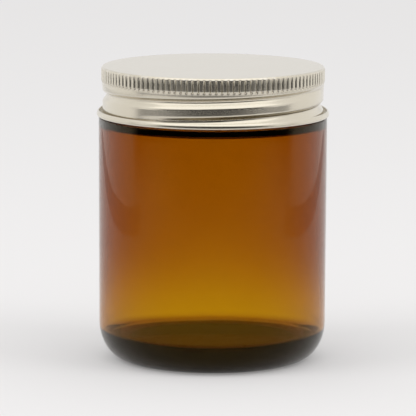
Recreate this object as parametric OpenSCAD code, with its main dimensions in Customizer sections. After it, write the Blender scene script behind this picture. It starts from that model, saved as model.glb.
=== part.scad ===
// Straight-sided glass apothecary jar with a threaded sheet-metal lid and a two-layer liner.
// Millimetres, +Z up, the jar stands on Z = 0 with its axis on Z.

/* [Jar body] */
// Outside diameter of the glass body at the shoulder
body_d = 73; // [50:0.5:110]
// How much smaller the body's radius is just above the heel
body_taper = 0.2; // [0:0.05:1]
// Thickness of the glass wall in the middle of the body
wall_t = 2.9; // [1.8:0.1:5]
// Thickness of the glass wall just above the floor
wall_low_t = 1.6; // [1.2:0.1:5]
// Thickness of the glass wall under the shoulder
wall_top_t = 3; // [1.8:0.1:5]
// Height at which the wall has its middle thickness
wall_mid_z = 45; // [20:1:60]
// Height of the edge where the straight wall turns into the shoulder
shoulder_z = 77.7; // [60:0.1:150]
// Radius of the outside corner of the shoulder
shoulder_round = 0.4; // [0.3:0.1:3]
// Height at which the inside wall turns inwards to the neck
roof_z = 75.4; // [60:0.1:150]
// Height of the slope from there up to the mouth
roof_h = 2.4; // [1:0.1:8]
// Width of the rounded heel, measured inwards
heel_w = 9; // [3:0.5:15]
// Height of the rounded heel
heel_h = 12; // [3:0.5:20]
// Thickness of the floor above the table plane at the axis
floor_z = 8; // [3:0.1:12]
// Radius of the corner between the floor and the inside wall
floor_corner = 2.5; // [1.5:0.5:12]
// Height of the hollow under the base at the axis
push_up = 1.5; // [0:0.1:4]
// Width of the flat ring that the jar stands on
foot_w = 2.5; // [1:0.5:6]

/* [Jar neck] */
// Outside diameter of the neck between the threads
neck_d = 66.6; // [40:0.1:105]
// Diameter of the mouth
mouth_d = 61.2; // [35:0.1:100]
// Height of the sealing rim
rim_z = 93.02; // [60:0.01:170]
// Radius of the rounded edges of the rim
rim_round = 1; // [0.3:0.1:2]

/* [Thread] */
// Rise of the thread in one turn
pitch = 5.7; // [3:0.1:8]
// Outside diameter of the glass thread
thread_d = 69.5; // [42:0.1:108]
// Width of the glass thread at its root
thread_w = 2.4; // [1:0.1:4]
// Turns of the glass thread, with its faded ends
thread_turns = 1.25; // [0.5:0.05:3]
// Axial distance from the lid's thread up to the glass thread
thread_gap = 1.5; // [1:0.05:3]
// Degrees from the start of the lid's thread to the start of the glass thread
thread_delay = 55; // [0:5:120]
// Degrees over which each end of the glass thread fades
thread_fade = 30; // [10:5:90]

/* [Lid] */
// Outside diameter of the lid over its ribs
lid_d = 71.3; // [45:0.1:110]
// Overall height of the lid
lid_h = 16; // [8:0.1:25]
// Thickness of the sheet metal
sheet_t = 0.25; // [0.15:0.01:1]
// Outside diameter of the skirt below its flared top
skirt_d = 70.5; // [44:0.1:109]
// How much the skirt's radius grows up to the grooves
skirt_flare = 0.2; // [0:0.05:0.3]
// Height over which it grows
flare_h = 2.4; // [1:0.1:5]
// Radius of the edge round the top panel
edge_round = 0.9; // [0.4:0.1:3]
// Number of pressed grooves round the lid
groove_count = 120; // [24:1:180]
// Width of one pressed groove
groove_w = 0.7; // [0.3:0.05:2]
// Depth of the pressed grooves
groove_depth = 0.35; // [0.1:0.05:1]
// Height of the band of grooves
groove_band = 4.4; // [2:0.1:8]
// Half the width of the rolled bottom edge
curl_r = 1.05; // [0.5:0.05:2]
// Height of the rolled edge below its widest line
curl_low = 0.65; // [0.5:0.05:2]
// Height that it would have above that line if it closed
curl_high = 1.5; // [0.5:0.05:3]
// Angle that the rolled edge comes round to, above horizontal
curl_end = 70; // [0:5:110]
// Depth of the thread pressed into the skirt
press_depth = 1.2; // [0.5:0.05:2]
// Height of the pressed thread's steep upper side
press_up = 1.4; // [0.6:0.1:3]
// Height of the pressed thread's slanting lower side
press_down = 2.4; // [0.6:0.1:4]
// Turns of the pressed thread, with its faded ends
press_turns = 1.4; // [0.5:0.05:3]
// Height of the pressed thread where it starts
press_z = 80.3; // [60:0.1:160]
// Direction in which the pressed thread starts, counted from +X
press_start = -142; // [-180:1:180]

/* [Liner] */
// Diameter of the liner
liner_d = 68.8; // [40:0.1:108]
// Thickness of the liner's backing board
board_t = 0.9; // [0.3:0.05:3]
// Thickness of the liner's sealing face
facing_t = 0.1; // [0.05:0.01:1]

/* [Hidden] */

$fn = 120;
glass_rgb = [0.42, 0.2, 0.03, 0.6];
metal_rgb = [0.78, 0.75, 0.68];
board_rgb = [0.87, 0.83, 0.74];
facing_rgb = [0.94, 0.94, 0.93];

body_r = body_d / 2;
heel_r = body_r - body_taper;
foot_r = heel_r - heel_w;
neck_r = neck_d / 2;
mouth_r = mouth_d / 2;
inner_low_r = heel_r - wall_low_t;
neck_z = shoulder_z + shoulder_round;
neck_fillet = 0.6;       // hollow corner where the neck meets the shoulder
floor_rise = 0.3;        // how much the floor of the cavity rises to its corner
corner_z = floor_z + floor_rise + floor_corner;
thread_h = thread_d / 2 - neck_r;
seat = 0.4;              // depth of the thread's root in the neck
touch = 0.01;            // working gap between faces that rest on each other

lid_top = rim_z + touch + facing_t + board_t + 2 * touch + sheet_t;
lid_low = lid_top - lid_h;
skirt_r = skirt_d / 2;
band_r = skirt_r + skirt_flare;
groove_r = lid_d / 2 - groove_depth;
curl_z = lid_low + curl_low;
curl_x = skirt_r - sheet_t + curl_r;
rib_clear = 0.55;        // plain edge above the grooves
ribs_z0 = lid_top - groove_band - rib_clear;
skirt_z0 = curl_z + 0.25;
skirt_z1 = ribs_z0 - 0.2;
inner_round = 0.6;       // hollow corner inside the top panel
step_t = 0.1;            // small steps that keep the rings of the lid joined
sink = 0.07;             // how far the pressed skirt's ends sit inside their neighbours
lap = 0.2;               // how far they reach in along Z
row_edge = 0.05;         // from the skirt's end to its next row
fade = 90;               // degrees over which the pressed thread deepens
fade_out = 50;           // degrees over which it ends
az_steps = 80;
z_steps = 20;
bead_steps = 72;

function arc(x, y, rx, ry, a0, a1, n) =
    [for (i = [0:n]) let (a = a0 + (a1 - a0) * i / n) [x + rx * cos(a), y + ry * sin(a)]];
function ease(t) = t <= 0 ? 0 : t >= 1 ? 1 : t * t * (3 - 2 * t);

// Thickness of the body's wall at height z, and the radius of its inside there
function wall_at(z) = z < wall_mid_z
    ? wall_low_t + (wall_t - wall_low_t) * ease((z - corner_z) / (wall_mid_z - corner_z))
    : wall_t + (wall_top_t - wall_t) * ease((z - wall_mid_z) / (roof_z - wall_mid_z));
function inside_r(z) = heel_r + body_taper * (z - heel_h) / (shoulder_z - heel_h) - wall_at(z);

// Depth of the pressed thread along its length, in degrees from its start
function along(u) = ease(u / fade) * ease((press_turns * 360 - u) / fade_out);
// Depth across the thread, by height from its deepest line
function across(h) = h > press_up || h < -press_down ? 0 :
    0.5 + 0.5 * cos(180 * h / (h > 0 ? press_up : press_down));
// Keeps the press clear of the rings above and below the skirt
function window(z) = ease((z - skirt_z0 - step_t) / 1.1) * ease((skirt_z1 - step_t - z) / 0.9);
// Radius of the skirt before it is pressed
function skirt_base(z) = skirt_r + skirt_flare * ease((z - skirt_z1 + flare_h) / flare_h);
// Inward press of the skirt in direction a at height z, over the turns that pass there
function pressed(a, z) =
    let (u = (a - press_start + 720) % 360)
    window(z) * max([for (k = [0:2]) along(u + 360 * k) * across(z - press_z - pitch * (u + 360 * k) / 360)]);
// Heights of the pressed skirt's rows; the two at each end sit inside the neighbouring ring
skirt_rows = concat([skirt_z0 - lap, skirt_z0 + row_edge],
    [for (j = [1:z_steps]) skirt_z0 + (skirt_z1 - skirt_z0) * j / (z_steps + 1)],
    [skirt_z1 - row_edge, skirt_z1 + lap]);
row_count = len(skirt_rows);
function skirt_point(i, j, inside) =
    let (a = 360 * i / az_steps,
         z = skirt_rows[j],
         end = j < 2 || j > row_count - 3 ? sink : 0,
         r = skirt_base(z) - press_depth * pressed(a, z) + (inside ? end - sheet_t : -end))
    [r * cos(a), r * sin(a), z];

module glass_jar() {
    color(glass_rgb) {
        difference() {
            rotate_extrude() polygon(concat(
                [[0, push_up], [foot_r * 0.5, push_up * 0.75], [foot_r - foot_w, 0], [foot_r, 0]],
                arc(foot_r, heel_h, heel_w, heel_h, -85, 0, 14),
                [[body_r, shoulder_z]],
                arc(body_r - shoulder_round, shoulder_z, shoulder_round, shoulder_round, 15, 90, 5),
                [[neck_r + neck_fillet, neck_z], [neck_r, neck_z + neck_fillet], [neck_r, rim_z - rim_round]],
                arc(neck_r - rim_round, rim_z - rim_round, rim_round, rim_round, 15, 90, 5),
                [[0, rim_z]]));
            jar_cavity();
        }
        glass_thread();
    }
}

module jar_cavity() {
    rotate_extrude() polygon(concat(
        [[0, floor_z]],
        arc(inner_low_r - floor_corner, corner_z, floor_corner, floor_corner, -90, 0, 10),
        [for (k = [1:8]) let (z = corner_z + (roof_z - corner_z) * k / 8) [inside_r(z), z]],
        [[mouth_r, roof_z + roof_h], [mouth_r, rim_z - rim_round]],
        arc(mouth_r + rim_round, rim_z - rim_round, rim_round, rim_round, 165, 90, 5),
        [[mouth_r + rim_round, rim_z + 1], [0, rim_z + 1]]));
}

// A raised bead round the neck, which grows from nothing at each end.
module glass_thread() {
    start = press_start + thread_delay;
    z0 = press_z + pitch * thread_delay / 360 + thread_gap;
    half = [for (k = [0:8]) let (a = -90 + 22.5 * k) [cos(a), sin(a)]];
    count = len(half) + 2;
    turn = thread_turns * 360;
    points = [for (i = [0:bead_steps]) let (
            u = turn * i / bead_steps,
            s = max(0.02, ease(u / thread_fade) * ease((turn - u) / thread_fade)),
            a = start + u,
            z = z0 + pitch * u / 360)
        each concat(
            [for (p = half) [(neck_r + (s * thread_h + seat) * p[0] - seat) * cos(a),
                             (neck_r + (s * thread_h + seat) * p[0] - seat) * sin(a),
                             z + thread_w / 2 * p[1]]],
            [for (h = [1, -1]) [(neck_r - 2 * seat) * cos(a), (neck_r - 2 * seat) * sin(a), z + h * thread_w / 2]])];
    faces = concat(
        [[for (k = [0:count - 1]) count - 1 - k]],
        [[for (k = [0:count - 1]) bead_steps * count + k]],
        [for (i = [0:bead_steps - 1], k = [0:count - 1]) let (m = (k + 1) % count)
            each [[i * count + k, (i + 1) * count + m, (i + 1) * count + k],
                  [i * count + k, i * count + m, (i + 1) * count + m]]]);
    polyhedron(points, faces, convexity = 6);
}

module lid_shell() {
    color(metal_rgb) {
        lid_top_shell();
        rib_ring(ribs_z0, lid_top - edge_round, lid_d / 2);
        rib_ring(lid_top - edge_round, lid_top - edge_round * 0.65, lid_d / 2 - 0.12);
        pressed_skirt();
        rolled_edge();
    }
}

// Top panel with its rounded edge and the plain band under the ribs.
module lid_top_shell() {
    inner = band_r - sheet_t - step_t;
    rotate_extrude() polygon(concat(
        [[0, lid_top - sheet_t]],
        arc(inner - inner_round, lid_top - sheet_t - inner_round, inner_round, inner_round, 90, 0, 5),
        [[inner, ribs_z0 + 3 * step_t], [band_r - sheet_t, ribs_z0], [band_r - sheet_t, skirt_z1],
         [band_r, skirt_z1], [band_r, ribs_z0 - step_t / 2], [groove_r, ribs_z0 + 2.5 * step_t]],
        arc(groove_r - edge_round, lid_top - edge_round, edge_round, edge_round, 0, 90, 7),
        [[0, lid_top]]));
}

// Lands between the pressed grooves, from height z0 to z1.
module rib_ring(z0, z1, land_r) {
    step = 360 / groove_count;
    half = (step - 57.3 * groove_w / land_r) / 2;
    low_r = groove_r + 0.02;
    translate([0, 0, z0]) linear_extrude(z1 - z0) difference() {
        polygon([for (i = [0:groove_count - 1], k = [[-1.25, low_r], [-0.85, land_r], [0.85, land_r], [1.25, low_r]])
            let (a = step * i + half * k[0]) [k[1] * cos(a), k[1] * sin(a)]]);
        circle(groove_r - step_t);
    }
}

// Skirt with the thread pressed into the sheet, so that it shows on both faces.
module pressed_skirt() {
    row = az_steps;
    wall = row * row_count;
    points = concat(
        [for (j = [0:row_count - 1], i = [0:row - 1]) skirt_point(i, j, false)],
        [for (j = [0:row_count - 1], i = [0:row - 1]) skirt_point(i, j, true)]);
    faces = concat(
        [for (j = [0:row_count - 2], i = [0:row - 1]) let (n = (i + 1) % row, a = j * row, b = a + row)
            each [[a + i, b + n, a + n], [a + i, b + i, b + n],
                  [wall + a + i, wall + a + n, wall + b + n], [wall + a + i, wall + b + n, wall + b + i]]],
        [for (i = [0:row - 1]) let (n = (i + 1) % row, t = (row_count - 1) * row)
            each [[i, n, wall + n], [i, wall + n, wall + i],
                  [t + i, wall + t + n, t + n], [t + i, wall + t + i, wall + t + n]]]);
    polyhedron(points, faces, convexity = 10);
}

// Bottom edge of the sheet, rolled outwards and up, with its cut edge left open.
module rolled_edge() {
    rotate_extrude() polygon(concat(
        [[skirt_r, skirt_z0], [skirt_r - sheet_t, skirt_z0]],
        arc(curl_x, curl_z, curl_r, curl_low, 180, 360, 18),
        arc(curl_x, curl_z, curl_r, curl_high, 6, curl_end, 8),
        arc(curl_x, curl_z, curl_r - sheet_t, curl_high - sheet_t, curl_end, 6, 8),
        arc(curl_x, curl_z, curl_r - sheet_t, curl_low - sheet_t, 360, 180, 18)));
}

module liner_board() {
    color(board_rgb)
        translate([0, 0, rim_z + 2 * touch + facing_t]) cylinder(h = board_t, d = liner_d);
}

module liner_facing() {
    color(facing_rgb)
        translate([0, 0, rim_z + touch]) cylinder(h = facing_t, d = liner_d);
}

glass_jar();
lid_shell();
liner_board();
liner_facing();
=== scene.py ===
from math import atan2, cos, hypot, pi, radians, sin, tau
import bpy
import bmesh
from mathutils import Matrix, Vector, noise


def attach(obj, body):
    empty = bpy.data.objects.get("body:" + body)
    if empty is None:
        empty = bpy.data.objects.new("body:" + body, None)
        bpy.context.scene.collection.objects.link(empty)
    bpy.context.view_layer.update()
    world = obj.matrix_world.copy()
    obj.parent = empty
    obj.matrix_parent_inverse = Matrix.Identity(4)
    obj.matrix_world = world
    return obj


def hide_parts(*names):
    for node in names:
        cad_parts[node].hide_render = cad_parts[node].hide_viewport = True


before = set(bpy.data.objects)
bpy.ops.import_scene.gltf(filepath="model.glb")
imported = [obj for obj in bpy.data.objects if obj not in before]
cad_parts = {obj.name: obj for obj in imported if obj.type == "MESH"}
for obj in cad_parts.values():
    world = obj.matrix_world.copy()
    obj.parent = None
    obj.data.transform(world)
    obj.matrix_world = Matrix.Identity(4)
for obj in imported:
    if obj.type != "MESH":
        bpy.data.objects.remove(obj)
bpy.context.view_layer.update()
scene = bpy.context.scene
mm = 0.001
print("frame loaded")


# Small helpers that every piece uses. Profiles are in millimetres: (radius, height).

def deselectAll():
    if bpy.context.object and bpy.context.object.mode != "OBJECT":
        bpy.ops.object.mode_set(mode="OBJECT")
    bpy.ops.object.select_all(action="DESELECT")


def arcPoints(centre, radii, startDeg, endDeg, steps):
    points = []
    for i in range(steps + 1):
        turn = radians(startDeg + (endDeg - startDeg) * i / steps)
        points.append((centre[0] + radii[0] * cos(turn), centre[1] + radii[1] * sin(turn)))
    return points


def roundPoints(centre, radius, startDeg, endDeg, steps):
    return arcPoints(centre, (radius, radius), startDeg, endDeg, steps)


def straightPoints(first, last, steps):
    points = []
    for i in range(1, steps + 1):
        share = i / steps
        points.append((first[0] + (last[0] - first[0]) * share, first[1] + (last[1] - first[1]) * share))
    return points


def ease(t):
    t = min(max(t, 0.0), 1.0)
    return t * t * (3 - 2 * t)


# Draws the profile by extruding one corner along it, then spins it round the jar's axis.
def lathe(name, profile, steps):
    deselectAll()
    bpy.ops.mesh.primitive_plane_add(size=mm, location=(0, 0, 0))
    piece = bpy.context.object
    piece.name = name
    bpy.ops.object.mode_set(mode="EDIT")
    bpy.ops.mesh.select_mode(type="VERT")
    bpy.ops.mesh.select_all(action="SELECT")
    bpy.ops.mesh.merge(type="CENTER")
    here = Vector((profile[0][0], 0, profile[0][1])) * mm
    bpy.ops.transform.translate(value=here)
    for radius, height in profile[1:]:
        there = Vector((radius, 0, height)) * mm
        bpy.ops.mesh.extrude_region_move(TRANSFORM_OT_translate={"value": there - here})
        here = there
    bpy.ops.mesh.select_all(action="SELECT")
    bpy.ops.mesh.spin(steps=steps, angle=tau, center=(0, 0, 0), axis=(0, 0, 1))
    bpy.ops.mesh.select_all(action="SELECT")
    bpy.ops.mesh.remove_doubles(threshold=0.002 * mm)
    bpy.ops.mesh.normals_make_consistent(inside=False)
    bpy.ops.object.mode_set(mode="OBJECT")
    return piece


def smoothPiece(piece, sharpDeg):
    deselectAll()
    piece.select_set(True)
    bpy.context.view_layer.objects.active = piece
    bpy.ops.object.shade_smooth_by_angle(angle=radians(sharpDeg))


def applyModifiers(piece):
    deselectAll()
    piece.select_set(True)
    bpy.context.view_layer.objects.active = piece
    for modifier in list(piece.modifiers):
        bpy.ops.object.modifier_apply(modifier=modifier.name)


# The camera stands 1.2 m in front of the jar and looks down on it a little.
view = {
    "place": (-1.46 * mm, -1200 * mm, 234.3 * mm),
    "downRad": 0.1537,
    "leanRad": 0.004,
    "lens": 327.9,
    "sensor": 36,
    "reach": 50,
}


def placeCamera():
    deselectAll()
    bpy.ops.object.camera_add(location=view["place"], rotation=(pi / 2 - view["downRad"], 0, 0))
    camera = bpy.context.object
    camera.name = "studioCamera"
    camera.rotation_euler.rotate_axis("Z", view["leanRad"])
    camera.data.sensor_width = view["sensor"]
    camera.data.lens = view["lens"]
    camera.data.clip_end = view["reach"]
    scene.camera = camera


placeCamera()


# The thread, pressed into the lid and raised on the neck.
# Angles run counter-clockwise from +X, seen from above.
thread = {
    "pitch": 5.7,
    "startDeg": -142,
    "startHeight": 80.3,
    "turns": 1.4,
    "fadeInDeg": 90,
    "fadeOutDeg": 50,
    "depth": 1.2,
    "upper": 1.4,
    "lower": 2.4,
    "glassDelayDeg": 55,
    "glassTurns": 1.25,
    "glassGap": 1.5,
    "glassHeight": 1.45,
    "glassHalfWidth": 1.3,
    "glassCrown": 0.7,
    "glassFadeDeg": 30,
    "laps": 3,
}


def threadDepth(turnDeg, height):
    along = (turnDeg - thread["startDeg"]) % 360
    most = 0.0
    for lap in range(thread["laps"]):
        u = along + 360 * lap
        fade = ease(u / thread["fadeInDeg"])
        fade *= ease((thread["turns"] * 360 - u) / thread["fadeOutDeg"])
        off = height - thread["startHeight"] - thread["pitch"] * u / 360
        reach = thread["upper"] if off > 0 else thread["lower"]
        if abs(off) < reach:
            most = max(most, fade * (0.5 + 0.5 * cos(pi * off / reach)))
    return thread["depth"] * most


def glassThreadHeight(turnDeg, height):
    start = thread["startDeg"] + thread["glassDelayDeg"]
    first = thread["startHeight"] + thread["pitch"] * thread["glassDelayDeg"] / 360 + thread["glassGap"]
    along = (turnDeg - start) % 360
    most = 0.0
    for lap in range(thread["laps"]):
        u = along + 360 * lap
        fade = ease(u / thread["glassFadeDeg"])
        fade *= ease((thread["glassTurns"] * 360 - u) / thread["glassFadeDeg"])
        off = abs(height - first - thread["pitch"] * u / 360) / thread["glassHalfWidth"]
        if off < 1:
            most = max(most, fade * (1 - off ** 2) ** thread["glassCrown"])
    return thread["glassHeight"] * most


# Jar: one closed wall of glass, from the hollow under the base round the rim and down to the floor.
jar = {
    "bodyRadius": 36.5,
    "heelRadius": 36.3,
    "heelWidth": 9.0,
    "heelHeight": 12.0,
    "footRound": 1.6,
    "footTouch": 1.0,
    "pushUp": 1.5,
    "pushUpBend": 2.5,
    "wall": 2.9,
    "wallLow": 1.6,
    "wallTop": 3.0,
    "wallMiddle": 45,
    "floor": 8.0,
    "floorRise": 0.3,
    "floorCorner": 2.5,
    "shoulderHeight": 77.7,
    "shoulderRound": 0.4,
    "roofHeight": 75.4,
    "roofRise": 2.4,
    "roofEdge": 0.25,
    "fillet": 0.6,
    "neckRadius": 33.3,
    "mouthRadius": 30.6,
    "rimHeight": 93.02,
    "rimRound": 1.0,
    "steps": 240,
    "waviness": 0.06,
    "waveSize": 17,
    "waveStretch": 0.6,
}


def wallAt(height):
    corner = jar["floor"] + jar["floorRise"] + jar["floorCorner"]
    if height < jar["wallMiddle"]:
        share = ease((height - corner) / (jar["wallMiddle"] - corner))
        return jar["wallLow"] + (jar["wall"] - jar["wallLow"]) * share
    share = ease((height - jar["wallMiddle"]) / (jar["roofHeight"] - jar["wallMiddle"]))
    return jar["wall"] + (jar["wallTop"] - jar["wall"]) * share


def insideRadius(height):
    rise = (height - jar["heelHeight"]) / (jar["shoulderHeight"] - jar["heelHeight"])
    return jar["heelRadius"] + (jar["bodyRadius"] - jar["heelRadius"]) * rise - wallAt(height)


def outsidePoints():
    foot = jar["heelRadius"] - jar["heelWidth"]
    neckFoot = jar["shoulderHeight"] + jar["shoulderRound"]
    rimLow = jar["rimHeight"] - jar["rimRound"]
    points = [(0, jar["pushUp"])]
    for share in (0.25, 0.5, 0.65, 0.8, 0.88):
        points.append((foot * share, jar["pushUp"] * (1 - share ** jar["pushUpBend"])))
    points += [(foot - jar["footRound"], 0.12), (foot - jar["footTouch"], 0.02), (foot, 0.0)]
    points += arcPoints((foot, jar["heelHeight"]), (jar["heelWidth"], jar["heelHeight"]), -86, 0, 26)
    points += straightPoints(points[-1], (jar["bodyRadius"], jar["shoulderHeight"]), 16)
    points += roundPoints((jar["bodyRadius"] - jar["shoulderRound"], jar["shoulderHeight"]),
                          jar["shoulderRound"], 9, 90, 9)
    points += roundPoints((jar["neckRadius"] + jar["fillet"], neckFoot + jar["fillet"]),
                          jar["fillet"], 270, 180, 5)
    points += straightPoints(points[-1], (jar["neckRadius"], rimLow), 56)
    points += roundPoints((jar["neckRadius"] - jar["rimRound"], rimLow), jar["rimRound"], 10, 90, 8)
    return points


def insidePoints():
    rimLow = jar["rimHeight"] - jar["rimRound"]
    roof = (insideRadius(jar["roofHeight"]), jar["roofHeight"])
    neckFoot = (jar["mouthRadius"], roof[1] + jar["roofRise"])
    low = jar["heelRadius"] - jar["wallLow"]
    corner = jar["floor"] + jar["floorRise"] + jar["floorCorner"]
    soft = jar["fillet"]
    edge = jar["roofEdge"]
    points = roundPoints((jar["mouthRadius"] + jar["rimRound"], rimLow), jar["rimRound"], 90, 180, 8)
    points += straightPoints(points[-1], (neckFoot[0], neckFoot[1] + soft), 8)
    points.append((neckFoot[0] + soft * 0.06, neckFoot[1] + soft * 0.3))   # a soft edge where the neck starts
    points.append((neckFoot[0] + soft * 0.25, neckFoot[1] - soft * 0.3))
    points += straightPoints(points[-1], (roof[0] - edge * 0.6, roof[1] + edge), 6)
    points.append((roof[0] - edge * 0.15, roof[1] - edge * 0.1))           # a soft edge under the shoulder
    points.append((roof[0], roof[1] - edge))
    steps = 36
    for i in range(1, steps + 1):
        height = points[-1][1] + (corner - points[-1][1]) / (steps + 1 - i)
        points.append((insideRadius(height), height))
    points += roundPoints((low - jar["floorCorner"], corner), jar["floorCorner"], -6, -90, 14)
    for radius, rise in ((26, 0.2), (18, 0.12), (9, 0.04), (0, 0)):        # the floor dips to the middle
        points.append((radius, jar["floor"] + rise))
    return points


# The raised thread is worked on the neck by its own rule, and the blown inside is left a little uneven.
def makeJar():
    piece = lathe("amberJar", outsidePoints() + insidePoints(), jar["steps"])
    neckLow = (jar["shoulderHeight"] + jar["shoulderRound"] + jar["fillet"]) * mm
    neckHigh = (jar["rimHeight"] - jar["rimRound"]) * mm
    outside = (jar["neckRadius"] - 0.3) * mm
    floor = jar["floor"] * 0.9 * mm
    for corner in piece.data.vertices:
        x, y, z = corner.co
        radius = hypot(x, y)
        if radius < mm:
            continue
        if radius > outside and neckLow < z < neckHigh:
            shift = glassThreadHeight(atan2(y, x) / pi * 180, z / mm) * mm
        elif z > floor and radius < (insideRadius(z / mm) + 0.3) * mm:
            spot = Vector((x, y, z * jar["waveStretch"])) / (jar["waveSize"] * mm)
            shift = noise.noise(spot) * jar["waviness"] * mm
        else:
            continue
        corner.co = (x * (1 + shift / radius), y * (1 + shift / radius), z)
    smoothPiece(piece, 60)
    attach(piece, "jar")
    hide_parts("glass_jar")
    return piece


jarPiece = makeJar()
print("jar made")


# Lid: one sheet, drawn as its outer face and then given its thickness inwards.
lid = {
    "top": 94.3,
    "landRadius": 35.65,
    "landLow": 90.3,
    "edgeRound": 0.9,
    "ribs": 120,
    "ribDepth": 0.37,
    "ribShare": 0.5,
    "ribsLow": 89.6,
    "ribsHigh": 93.9,
    "ribFadeLow": 0.45,
    "ribFadeHigh": 0.5,
    "skirtRadius": 35.25,
    "skirtFlare": 0.2,
    "flareHeight": 2.4,
    "curlRadius": 1.05,
    "curlHeight": 78.95,
    "curlLow": 0.65,
    "curlHigh": 1.5,
    "curlEndDeg": 70,
    "sheet": 0.25,
    "fineSteps": 1440,
    "coarseSteps": 240,
    "joinHeight": 88.9,
    "joinGap": 0.12,
    "pressStart": 0.35,
    "pressRise": 1.1,
}


def ribPress(turnDeg, height):
    phase = (turnDeg / 360 * lid["ribs"]) % 1
    off = abs(phase - 0.5) / (lid["ribShare"] / 2)
    across = max(1 - off, 0)
    fade = ease((height - lid["ribsLow"]) / lid["ribFadeLow"] + 0.5)
    fade *= ease((lid["ribsHigh"] - height) / lid["ribFadeHigh"])
    return lid["ribDepth"] * across * fade


def crownProfile():
    centre = (lid["landRadius"] - lid["edgeRound"], lid["top"] - lid["edgeRound"])
    points = [(0, lid["top"]), (18, lid["top"]), (32, lid["top"])]
    points += roundPoints(centre, lid["edgeRound"], 90, 0, 9)
    points += straightPoints(points[-1], (lid["landRadius"], lid["landLow"]), 2)
    for inward, down in ((0.01, 0.25), (0.04, 0.4), (0.07, 0.55), (0.10, 0.7), (0.13, 0.85), (0.16, 1.05)):
        points.append((lid["landRadius"] - inward, lid["landLow"] - down))
    points.append((skirtBase(lid["joinHeight"]), lid["joinHeight"]))
    return points


# The skirt narrows a little under the grooves.
def skirtBase(height):
    share = (height - lid["joinHeight"] + lid["flareHeight"]) / lid["flareHeight"]
    return lid["skirtRadius"] + lid["skirtFlare"] * ease(share)


def skirtProfile():
    high = lid["joinHeight"] - lid["joinGap"]
    low = lid["curlHeight"] + 0.2
    rows = 40
    points = []
    for row in range(rows + 1):
        height = high + (low - high) * row / rows
        points.append((skirtBase(height), height))
    inner = lid["curlRadius"] - lid["sheet"]
    centre = (lid["skirtRadius"] - lid["sheet"] + lid["curlRadius"], lid["curlHeight"])
    points += arcPoints(centre, (-inner, lid["sheet"] - lid["curlLow"]), 0, 180, 16)
    points += arcPoints(centre, (inner, lid["curlHigh"] - lid["sheet"]), 5, lid["curlEndDeg"], 9)
    return points


def pressIn(corner, depth):
    x, y, z = corner.co
    radius = hypot(x, y)
    corner.co = (x * (1 - depth / radius), y * (1 - depth / radius), z)


def makeCrown():
    crown = lathe("lidShell", crownProfile(), lid["fineSteps"])
    for corner in crown.data.vertices:
        x, y, z = corner.co
        if hypot(x, y) > (lid["landRadius"] - 1.65) * mm:
            pressIn(corner, ribPress(atan2(y, x) / pi * 180, z / mm) * mm)
    return crown


def makeSkirt():
    skirt = lathe("skirt", skirtProfile(), lid["coarseSteps"])
    pressLow = lid["curlHeight"] + lid["pressStart"]
    for corner in skirt.data.vertices:
        x, y, z = corner.co
        height = z / mm
        if height > lid["curlHeight"] + 0.1 and hypot(x, y) < (skirtBase(height) + 0.05) * mm:
            depth = threadDepth(atan2(y, x) / pi * 180, height)
            pressIn(corner, depth * ease((height - pressLow) / lid["pressRise"]) * mm)
    return skirt


def makeLid():
    crown = makeCrown()
    skirt = makeSkirt()
    deselectAll()
    crown.select_set(True)
    skirt.select_set(True)
    bpy.context.view_layer.objects.active = crown
    bpy.ops.object.join()
    bpy.ops.object.mode_set(mode="EDIT")
    bpy.ops.mesh.select_all(action="DESELECT")
    bpy.ops.mesh.select_mode(type="EDGE")
    mesh = bmesh.from_edit_mesh(crown.data)
    low = (lid["joinHeight"] - lid["joinGap"] - 0.04) * mm
    high = (lid["joinHeight"] + 0.02) * mm
    for edge in mesh.edges:
        edge.select_set(edge.is_boundary and all(low < end.co.z < high for end in edge.verts))
    bmesh.update_edit_mesh(crown.data)
    bpy.ops.mesh.bridge_edge_loops()
    bpy.ops.mesh.select_all(action="SELECT")
    bpy.ops.mesh.normals_make_consistent(inside=False)
    bpy.ops.object.mode_set(mode="OBJECT")
    wall = crown.modifiers.new("sheet", "SOLIDIFY")
    wall.thickness = lid["sheet"] * mm
    wall.offset = -1
    applyModifiers(crown)
    smoothPiece(crown, 50)
    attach(crown, "lid")
    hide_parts("lid_shell")
    return crown


lidPiece = makeLid()
print("lid made")


# Liner: a pressed board with a thin sealing face under it.
liner = {
    "radius": 34.4,
    "low": 93.03,
    "facing": 0.1,
    "board": 0.9,
    "edgeRound": 0.12,
    "facingRound": 0.03,
    "touch": 0.01,
    "steps": 180,
}


def discProfile(low, high, edge):
    radius = liner["radius"]
    points = [(0, low), (radius * 0.5, low), (radius - 2, low)]
    points += roundPoints((radius - edge, low + edge), edge, -90, 0, 3)
    points += roundPoints((radius - edge, high - edge), edge, 0, 90, 3)
    points += [(radius - 2, high), (radius * 0.5, high), (0, high)]
    return points


def makeLinerLayer(name, node, low, high, edge):
    piece = lathe(name, discProfile(low, high, edge), liner["steps"])
    smoothPiece(piece, 40)
    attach(piece, "liner")
    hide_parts(node)
    return piece


facingTop = liner["low"] + liner["facing"]
facingPiece = makeLinerLayer("linerFacing", "liner_facing", liner["low"], facingTop, liner["facingRound"])
boardLow = facingTop + liner["touch"]
boardTop = boardLow + liner["board"]
boardPiece = makeLinerLayer("linerBoard", "liner_board", boardLow, boardTop, liner["edgeRound"])
print("liner made")


# Materials.

def newMaterial(name):
    material = bpy.data.materials.new(name)
    material.use_nodes = True
    return material, material.node_tree.nodes, material.node_tree.links


def giveMaterial(piece, material):
    piece.data.materials.clear()
    piece.data.materials.append(material)


def addNode(nodes, kind, settings=None, values=None):
    node = nodes.new(kind)
    for key, value in (settings or {}).items():
        setattr(node, key, value)
    for key, value in (values or {}).items():
        node.inputs[key].default_value = value
    return node


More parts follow.
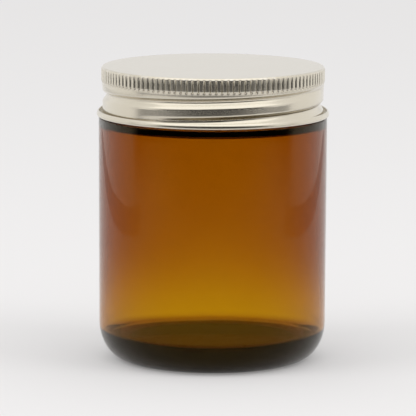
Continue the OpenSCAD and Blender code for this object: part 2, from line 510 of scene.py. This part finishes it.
glassLook = {
    "ior": 1.52,
    "colour": (1, 1, 1, 1),
    "darkColour": (0.985, 0.98, 0.97, 1),
    "roughLow": 0.0,
    "roughHigh": 0.012,
    "cloudSize": 130.0,
    "grainSize": 55.0,
    "bump": 0.03,
    "bumpDepth": 0.001,
    "mirrorTint": (0.5, 0.33, 0.1, 1),
    "absorbColour": (0.921, 0.831, 0.0, 1),
    "absorbDensity": 2500,
}


# Two sizes of noise, shared by every material.
# Cloudy patches vary the tone and the gloss, and a fine grain gives the relief.
def makeGrainGroup():
    group = bpy.data.node_groups.new("grain", "ShaderNodeTree")
    for title in ("Size", "Fineness", "Smooth", "Rough"):
        group.interface.new_socket(title, in_out="INPUT", socket_type="NodeSocketFloat")
    for title in ("Light", "Dark"):
        group.interface.new_socket(title, in_out="INPUT", socket_type="NodeSocketColor")
    group.interface.new_socket("Color", in_out="OUTPUT", socket_type="NodeSocketColor")
    for title in ("Roughness", "Height"):
        group.interface.new_socket(title, in_out="OUTPUT", socket_type="NodeSocketFloat")
    nodes, links = group.nodes, group.links
    source = addNode(nodes, "NodeGroupInput")
    result = addNode(nodes, "NodeGroupOutput")
    place = addNode(nodes, "ShaderNodeTexCoord")
    clouds = addNode(nodes, "ShaderNodeTexNoise", values={"Detail": 5.0})
    grain = addNode(nodes, "ShaderNodeTexNoise", values={"Detail": 3.0})
    weight = addNode(nodes, "ShaderNodeMapRange", values={"From Min": 0.3, "From Max": 0.7})
    tone = addNode(nodes, "ShaderNodeMix", {"data_type": "RGBA"})
    gloss = addNode(nodes, "ShaderNodeMapRange", values={"From Min": 0.0, "From Max": 1.0})
    links.new(place.outputs["Object"], clouds.inputs["Vector"])
    links.new(place.outputs["Object"], grain.inputs["Vector"])
    links.new(source.outputs["Size"], clouds.inputs["Scale"])
    links.new(source.outputs["Fineness"], grain.inputs["Scale"])
    links.new(clouds.outputs["Fac"], weight.inputs["Value"])
    links.new(weight.outputs["Result"], tone.inputs["Factor"])
    links.new(source.outputs["Dark"], tone.inputs["A"])
    links.new(source.outputs["Light"], tone.inputs["B"])
    links.new(weight.outputs["Result"], gloss.inputs["Value"])
    links.new(source.outputs["Smooth"], gloss.inputs["To Min"])
    links.new(source.outputs["Rough"], gloss.inputs["To Max"])
    links.new(tone.outputs["Result"], result.inputs["Color"])
    links.new(gloss.outputs["Result"], result.inputs["Roughness"])
    links.new(grain.outputs["Fac"], result.inputs["Height"])
    return group


grainGroup = makeGrainGroup()


# Adds the grain to a material. The look gives its sizes, colours and roughness.
def addGrain(nodes, links, shader, look):
    grain = addNode(nodes, "ShaderNodeGroup", {"node_tree": grainGroup},
                    {"Size": look["cloudSize"], "Fineness": look["grainSize"], "Light": look["colour"],
                     "Dark": look["darkColour"], "Smooth": look["roughLow"], "Rough": look["roughHigh"]})
    bump = addNode(nodes, "ShaderNodeBump", values={"Strength": look["bump"], "Distance": look["bumpDepth"]})
    links.new(grain.outputs["Color"], shader.inputs["Base Color"])
    links.new(grain.outputs["Roughness"], shader.inputs["Roughness"])
    links.new(grain.outputs["Height"], bump.inputs["Height"])
    links.new(bump.outputs["Normal"], shader.inputs["Normal"])
    return grain


def makeGlass():
    material, nodes, links = newMaterial("amberGlass")
    shader = nodes["Principled BSDF"]
    shader.inputs["Transmission Weight"].default_value = 1
    shader.inputs["IOR"].default_value = glassLook["ior"]
    shader.inputs["Specular Tint"].default_value = glassLook["mirrorTint"]
    addGrain(nodes, links, shader, glassLook)
    depth = addNode(nodes, "ShaderNodeVolumeAbsorption", values={"Color": glassLook["absorbColour"],
                                                               "Density": glassLook["absorbDensity"]})
    links.new(depth.outputs["Volume"], nodes["Material Output"].inputs["Volume"])
    return material


metalLook = {
    "colour": (0.64, 0.595, 0.495, 1),
    "darkColour": (0.625, 0.577, 0.475, 1),
    "roughLow": 0.2,
    "roughHigh": 0.235,
    "cloudSize": 60.0,
    "grainSize": 2600.0,
    "bump": 0.02,
    "bumpDepth": 0.0002,
    "lacquer": 0.5,
    "lacquerRough": 0.2,
    # The keys below paint a highlight: a lighter colour in patches on the rounded top edge.
    "paintedHighlightLow": 0.0932,
    "paintedHighlightHigh": 0.0943,
    "paintedHighlightSize": 420.0,
    "paintedHighlightFrom": 0.5,
    "paintedHighlightTo": 0.62,
    "paintedHighlightColour": (0.74, 0.71, 0.65, 1),
}


# How far a place on the lid is into its rounded top edge: 0 on the panel and the side, most on the corner.
def addCornerMask(nodes, links, place):
    parts = addNode(nodes, "ShaderNodeSeparateXYZ")
    high = addNode(nodes, "ShaderNodeMapRange", values={"From Min": metalLook["paintedHighlightLow"],
                                                        "From Max": metalLook["paintedHighlightHigh"]})
    across = addNode(nodes, "ShaderNodeVectorMath", {"operation": "MULTIPLY"}, {1: (1, 1, 0)})
    reach = addNode(nodes, "ShaderNodeVectorMath", {"operation": "LENGTH"})
    panelRadius = (lid["landRadius"] - lid["edgeRound"]) * mm
    wide = addNode(nodes, "ShaderNodeMapRange", values={"From Min": panelRadius,
                                                        "From Max": lid["landRadius"] * mm})
    corner = addNode(nodes, "ShaderNodeMath", {"operation": "MULTIPLY"})
    links.new(place.outputs["Object"], parts.inputs["Vector"])
    links.new(parts.outputs["Z"], high.inputs["Value"])
    links.new(place.outputs["Object"], across.inputs[0])
    links.new(across.outputs["Vector"], reach.inputs[0])
    links.new(reach.outputs["Value"], wide.inputs["Value"])
    links.new(high.outputs["Result"], corner.inputs[0])
    links.new(wide.outputs["Result"], corner.inputs[1])
    return corner


# Satin lacquer over tinplate, with a painted highlight: a lighter colour painted in patches along the rounded
# top edge.
def makeMetal():
    material, nodes, links = newMaterial("champagneTin")
    shader = nodes["Principled BSDF"]
    shader.inputs["Metallic"].default_value = 1
    shader.inputs["Coat Weight"].default_value = metalLook["lacquer"]
    shader.inputs["Coat Roughness"].default_value = metalLook["lacquerRough"]
    grain = addGrain(nodes, links, shader, metalLook)
    place = addNode(nodes, "ShaderNodeTexCoord")
    corner = addCornerMask(nodes, links, place)
    # Painted highlight: patches of a lighter colour on the rounded top edge stand in for its bright rim.
    spots = addNode(nodes, "ShaderNodeTexNoise", values={"Scale": metalLook["paintedHighlightSize"], "Detail": 6.0})
    patches = addNode(nodes, "ShaderNodeMapRange", values={"From Min": metalLook["paintedHighlightFrom"],
                                                           "From Max": metalLook["paintedHighlightTo"]})
    highlightAmount = addNode(nodes, "ShaderNodeMath", {"operation": "MULTIPLY"})
    highlighted = addNode(nodes, "ShaderNodeMix", {"data_type": "RGBA"})
    highlighted.inputs["B"].default_value = metalLook["paintedHighlightColour"]
    links.new(place.outputs["Object"], spots.inputs["Vector"])
    links.new(spots.outputs["Fac"], patches.inputs["Value"])
    links.new(corner.outputs["Value"], highlightAmount.inputs[0])
    links.new(patches.outputs["Result"], highlightAmount.inputs[1])
    links.new(highlightAmount.outputs["Value"], highlighted.inputs["Factor"])
    links.new(grain.outputs["Color"], highlighted.inputs["A"])
    links.new(highlighted.outputs["Result"], shader.inputs["Base Color"])
    return material


# The backing board is matt pressed pulp, and the sealing film is smooth and white.
boardLook = {
    "colour": (0.78, 0.72, 0.6, 1),
    "darkColour": (0.62, 0.55, 0.43, 1),
    "roughLow": 0.77,
    "roughHigh": 0.93,
    "cloudSize": 700.0,
    "grainSize": 1900.0,
    "bump": 0.5,
    "bumpDepth": 0.0004,
}
filmLook = {
    "colour": (0.9, 0.9, 0.89, 1),
    "darkColour": (0.84, 0.84, 0.82, 1),
    "roughLow": 0.27,
    "roughHigh": 0.43,
    "cloudSize": 300.0,
    "grainSize": 900.0,
    "bump": 0.1,
    "bumpDepth": 0.0004,
}


def makePlain(name, look):
    material, nodes, links = newMaterial(name)
    addGrain(nodes, links, nodes["Principled BSDF"], look)
    return material


giveMaterial(jarPiece, makeGlass())
giveMaterial(lidPiece, makeMetal())
giveMaterial(boardPiece, makePlain("pulpBoard", boardLook))
giveMaterial(facingPiece, makePlain("sealingFilm", filmLook))
print("materials made")


# Studio: a pale floor that glows a little, under an even white sky.
# The white tent, its wings and roof, and the dark beyond the table show only in reflections.
studio = {
    "floorColour": (0.59, 0.583, 0.58, 1),
    "floorGlow": 0.2,
    "skyLight": 0.97,
    "skyThrough": 0.22,
    "softPower": 2.2,
    "softPlace": (0.75, -0.35, 0.8),
    "softAim": (0, 0, 0.02),
    "softSize": 0.5,
    "skyCamera": 0.87,
    "skyFront": 0.035,
    "sideX": 0.285,
    "backY": 0.45,
    "frontY": -0.085,
    "frontFade": 0.08,
    "roofFront": -1.1,
    "roofFade": 0.4,
    "roofWidth": 3.2,
    "roofZ": 0.6,
    "sideGlow": 1.0,
    "backGlow": 0.87,
    "roofGlow": 1.5,
    "floorSize": 30,
    "floorRough": 0.9,
    "white": (1, 0.99, 0.98, 1),
    "skyColour": (1, 0.995, 1.0, 1),
    "seamHeight": 0.012,
    "seamGlow": 0.55,
    "tableEdge": 0.3,
    "tableReach": 1.14,
    "tableFront": -0.2,
    "tableFade": 0.3,
    "tableSide": -0.05,
    "tableDepth": 3,
    "lift": 0.0006,
    "frontLift": 0.0007,
    "tableGlow": 0.05,
    "wingReach": 0.7,
    "wingAngle": 1.1,
    "wingWidth": 0.5,
    "wingLow": 0.045,
    "wingHeight": 0.5,
    "wingGlow": 1.0,
    "wingFront": -0.5,
    "wingFade": 0.2,
}


def makeFloor():
    deselectAll()
    bpy.ops.mesh.primitive_plane_add(size=studio["floorSize"], location=(0, 0, 0))
    floor = bpy.context.object
    floor.name = "studioFloor"
    material, nodes, links = newMaterial("paleSweep")
    shader = nodes["Principled BSDF"]
    shader.inputs["Base Color"].default_value = studio["floorColour"]
    shader.inputs["Roughness"].default_value = studio["floorRough"]
    shader.inputs["Specular IOR Level"].default_value = 0.0
    shader.inputs["Emission Color"].default_value = (1, 0.995, 0.99, 1)
    shader.inputs["Emission Strength"].default_value = studio["floorGlow"]
    giveMaterial(floor, material)


# A fade is an axis and two places on it: the panel is clear at the first and glows in full at the second.
def glowMaterial(name, strength, fade):
    material, nodes, links = newMaterial(name)
    nodes.remove(nodes["Principled BSDF"])
    glow = addNode(nodes, "ShaderNodeEmission", values={"Strength": strength, "Color": studio["white"]})
    result = glow.outputs["Emission"]
    if fade:
        place = addNode(nodes, "ShaderNodeTexCoord")
        parts = addNode(nodes, "ShaderNodeSeparateXYZ")
        rise = addNode(nodes, "ShaderNodeMapRange", {"interpolation_type": "SMOOTHSTEP"},
                       {"From Min": fade[1], "From Max": fade[2]})
        clear = addNode(nodes, "ShaderNodeBsdfTransparent")
        soft = addNode(nodes, "ShaderNodeMixShader")
        links.new(place.outputs["Object"], parts.inputs["Vector"])
        links.new(parts.outputs[fade[0]], rise.inputs["Value"])
        links.new(rise.outputs["Result"], soft.inputs["Fac"])
        links.new(clear.outputs["BSDF"], soft.inputs[1])
        links.new(result, soft.inputs[2])
        result = soft.outputs["Shader"]
    links.new(result, nodes["Material Output"].inputs["Surface"])
    return material


# A plane that only reflections show. The size is (along X, along Y) before it is turned.
def makePanel(name, place, turn, size, strength, fade):
    deselectAll()
    bpy.ops.mesh.primitive_plane_add(size=1, location=(0, 0, 0))
    panel = bpy.context.object
    panel.name = name
    panel.scale = (size[0], size[1], 1)
    panel.rotation_euler = turn
    panel.location = place
    bpy.ops.object.transform_apply(location=True, rotation=True, scale=True)
    giveMaterial(panel, glowMaterial(name + "Glow", strength, fade))
    panel.visible_camera = False
    panel.visible_diffuse = False
    panel.visible_shadow = False
    panel.visible_transmission = False


def makeSoftLight(name, place):
    deselectAll()
    bpy.ops.object.light_add(type="AREA", location=place)
    light = bpy.context.object
    light.name = name
    light.rotation_euler = (Vector(studio["softAim"]) - Vector(place)).to_track_quat("-Z", "Y").to_euler()
    light.data.shape = "SQUARE"
    light.data.size = studio["softSize"]
    light.data.energy = studio["softPower"]
    light.visible_camera = False
    light.visible_glossy = False
    light.visible_transmission = False


# One side of the tent with its dark seam at the table.
def makeTentSide(side, name):
    wide, high = studio["sideX"], studio["roofZ"]
    depth = studio["backY"] - studio["frontY"]
    middle = (studio["backY"] + studio["frontY"]) / 2
    seam = studio["seamHeight"]
    upright = (0, pi / 2, 0)
    makePanel("tent" + name, (side * wide, middle, high / 2), upright, (high, depth),
              studio["sideGlow"], ("Y", studio["frontY"], studio["frontY"] + studio["frontFade"]))
    makePanel("seam" + name, (side * (wide - studio["lift"]), middle, seam / 2), upright, (seam, depth),
              studio["seamGlow"], None)


# The dark beyond the side of the table.
def makeTableSide(side, name):
    edge, depth = studio["tableEdge"], studio["tableDepth"]
    width = studio["tableReach"] - edge
    makePanel("table" + name, (side * (edge + width / 2), studio["tableSide"] - depth / 2, studio["lift"]),
              (0, 0, 0), (width, depth), studio["tableGlow"],
              ("X", side * edge, side * (edge + studio["tableFade"])))


# The bright wing between the tent and the dark front.
def makeWing(side, name):
    turn = side * studio["wingAngle"]
    place = (studio["wingReach"] * sin(turn), -studio["wingReach"] * cos(turn),
             studio["wingLow"] + studio["wingHeight"] / 2)
    makePanel("wing" + name, place, (pi / 2, 0, turn), (studio["wingWidth"], studio["wingHeight"]),
              studio["wingGlow"], ("Y", studio["wingFront"], studio["wingFront"] + studio["wingFade"]))


def makeStudio():
    makeFloor()
    x, y, z = studio["softPlace"]
    for side, name in ((-1, "Left"), (1, "Right")):
        makeSoftLight("soft" + name, (side * x, y, z))
        makeTentSide(side, name)
        makeTableSide(side, name)
        makeWing(side, name)
    front, depth = studio["tableFront"], studio["tableDepth"]
    makePanel("tableFront", (0, front - depth / 2, studio["frontLift"]), (0, 0, 0),
              (2 * studio["tableReach"], depth), studio["skyFront"],
              ("Y", front, front - studio["tableFade"]))
    makePanel("tentBack", (0, studio["backY"], studio["roofZ"] / 2), (pi / 2, 0, 0),
              (2 * studio["sideX"], studio["roofZ"]), studio["backGlow"], None)
    front, depth = studio["roofFront"], studio["backY"] - studio["roofFront"]
    makePanel("tentRoof", (0, studio["backY"] - depth / 2, studio["roofZ"]), (0, 0, 0),
              (studio["roofWidth"], depth), studio["roofGlow"], ("Y", front, front + studio["roofFade"]))


makeStudio()


def makeWorld():
    world = bpy.data.worlds.new("studioAir")
    scene.world = world
    world.use_nodes = True
    nodes, links = world.node_tree.nodes, world.node_tree.links
    background = nodes["Background"]
    path = addNode(nodes, "ShaderNodeLightPath")
    mirrored = addNode(nodes, "ShaderNodeMath", {"operation": "SUBTRACT", "use_clamp": True})
    through = addNode(nodes, "ShaderNodeMix", {"data_type": "FLOAT"},
                      {"A": studio["skyLight"], "B": studio["skyThrough"]})
    light = addNode(nodes, "ShaderNodeMix", {"data_type": "FLOAT"}, {"B": studio["skyFront"]})
    seen = addNode(nodes, "ShaderNodeMix", {"data_type": "FLOAT"}, {"B": studio["skyCamera"]})
    links.new(path.outputs["Is Glossy Ray"], mirrored.inputs[0])
    links.new(path.outputs["Is Transmission Ray"], mirrored.inputs[1])
    links.new(path.outputs["Is Transmission Ray"], through.inputs["Factor"])
    links.new(mirrored.outputs["Value"], light.inputs["Factor"])
    links.new(through.outputs["Result"], light.inputs["A"])
    links.new(light.outputs["Result"], seen.inputs["A"])
    links.new(path.outputs["Is Camera Ray"], seen.inputs["Factor"])
    links.new(seen.outputs["Result"], background.inputs["Strength"])
    background.inputs["Color"].default_value = studio["skyColour"]


makeWorld()
scene.view_settings.view_transform = "Standard"
print("studio made")
